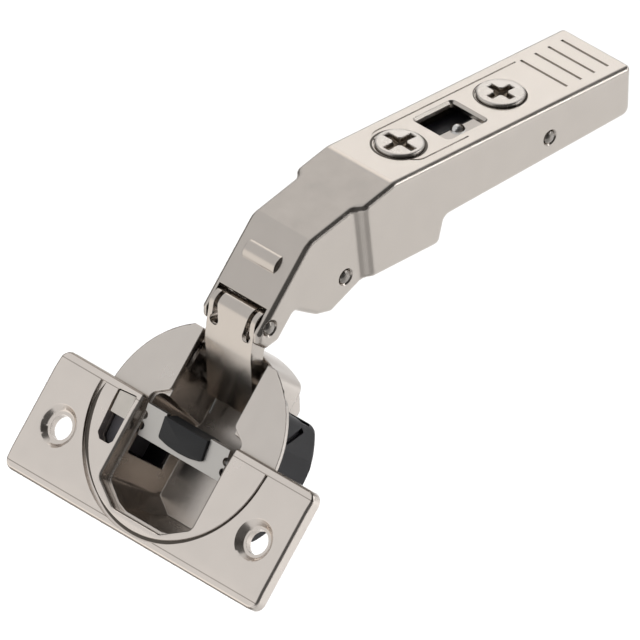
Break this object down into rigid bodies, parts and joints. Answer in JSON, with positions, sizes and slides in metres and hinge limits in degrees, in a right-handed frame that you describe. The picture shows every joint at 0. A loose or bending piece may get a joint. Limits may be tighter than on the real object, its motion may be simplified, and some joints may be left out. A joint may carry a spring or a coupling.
{
  "type": "concealed cup hinge",
  "caption": "Concealed cabinet hinge with a damped cup on a screw flange, linked to an angled clip-on arm with two adjusting screws.",
  "frame": {"origin": "centre of the drilled cup hole on the door's inner face", "axes": "+X along the two door screws, +Y to the door's edge and the arm, +Z out of the door"},
  "size_m": [0.0578, 0.1047, 0.0605],
  "materials": {
    "nickel": "satin nickel plate",
    "nickel_link": "satin nickel plate",
    "nickel_arm": "satin nickel plate",
    "bright_steel": "bright steel",
    "spring_steel": "drawn spring wire",
    "screw_steel": "nickel-plated steel",
    "grey_zinc": "smooth grey zinc casting",
    "dark_plastic": "fine matt",
    "cylinder_plastic": "fine matt",
    "pad_plastic": "fine matt",
    "cream_plastic": "fine matt"
  },
  "bodies": {
    "cup": {"flange_plate": "nickel", "hinge_cup": "nickel", "damper_housing_left": "dark_plastic", "damper_housing_right": "dark_plastic", "damper_cylinder_left": "cylinder_plastic", "damper_cylinder_right": "cylinder_plastic", "outer_link_pin": "bright_steel", "inner_link_pin": "bright_steel", "closing_spring": "spring_steel"},
    "damper_slide": {"actuator_frame": "grey_zinc", "actuator_pad": "pad_plastic", "piston_rod_left": "bright_steel", "piston_rod_right": "bright_steel"},
    "switch": {"switch_tab": "cream_plastic"},
    "outer_link": {"outer_link": "nickel_link"},
    "inner_link": {"inner_link": "nickel_link"},
    "arm": {"arm": "nickel_arm", "front_arm_pin": "bright_steel", "second_arm_pin": "bright_steel", "rear_axle_pin": "bright_steel"},
    "guide_sleeve": {"guide_sleeve": "bright_steel"},
    "clip_rail": {"clip_rail": "nickel", "latch_pin": "bright_steel", "latch_spring": "spring_steel"},
    "depth_screw": {"depth_screw": "screw_steel"},
    "side_screw": {"side_screw": "screw_steel"},
    "latch_lever": {"latch_lever": "grey_zinc"}
  },
  "joints": [
    {"name": "link_hinge", "type": "hinge", "parent": "cup", "child": "outer_link", "pos_m": [0, 0.0095, -0.0075], "axis": [1, 0, 0], "range_deg": [0, 90], "deforming": ["closing_spring"]},
    {"name": "arm_hinge", "type": "hinge", "parent": "outer_link", "child": "arm", "pos_m": [0, 0.0214, 0.004], "axis": [1, 0, 0], "range_deg": [0, 5.01]},
    {"name": "inner_link_hinge", "type": "hinge", "parent": "cup", "child": "inner_link", "pos_m": [0, 0.0125, -0.0045], "axis": [1, 0, 0], "range_deg": [0, 108.9]},
    {"name": "damper_push", "type": "slide", "parent": "cup", "child": "damper_slide", "axis": [0, -1, 0], "range_m": [0, 0.00501]},
    {"name": "switch_push", "type": "slide", "parent": "cup", "child": "switch", "axis": [0, -1, 0], "range_m": [0, 0.0033]},
    {"name": "side_screw_turn", "type": "hinge", "parent": "arm", "child": "side_screw", "pos_m": [0, 0.0569, -0.01252], "axis": [0, 0.7815, 0.6239], "range_deg": [-361, 361]},
    {"name": "side_tilt", "type": "hinge", "parent": "arm", "child": "guide_sleeve", "pos_m": [0, 0.06905, -0.03736], "axis": [1, 0, 0], "range_deg": [-1.5, 1.5]},
    {"name": "depth_screw_turn", "type": "hinge", "parent": "arm", "child": "depth_screw", "pos_m": [0, 0.07143, -0.03073], "axis": [0, 0.7815, 0.6239], "range_deg": [-56.6, 56.6]},
    {"name": "depth_slide", "type": "slide", "parent": "guide_sleeve", "child": "clip_rail", "axis": [0, 0.6239, -0.7815], "range_m": [-0.002, 0.002]},
    {"name": "latch_hinge", "type": "hinge", "parent": "clip_rail", "child": "latch_lever", "pos_m": [0, 0.0742, -0.04477], "axis": [1, 0, 0], "range_deg": [0, 8], "stiffness_Nm_per_rad": 0.05, "springref_deg": -5.73, "deforming": ["latch_spring"]}
  ],
  "couplings": [
    {"joint": "arm_hinge", "follows": "link_hinge", "ratio": 0.055556},
    {"joint": "inner_link_hinge", "follows": "link_hinge", "ratio": 1.209},
    {"joint": "damper_push", "follows": "link_hinge", "m_per_rad": 0.0031831},
    {"joint": "side_screw_turn", "follows": "side_tilt", "ratio": 240},
    {"joint": "depth_screw_turn", "follows": "depth_slide", "rad_per_m": 492.18}
  ]
}
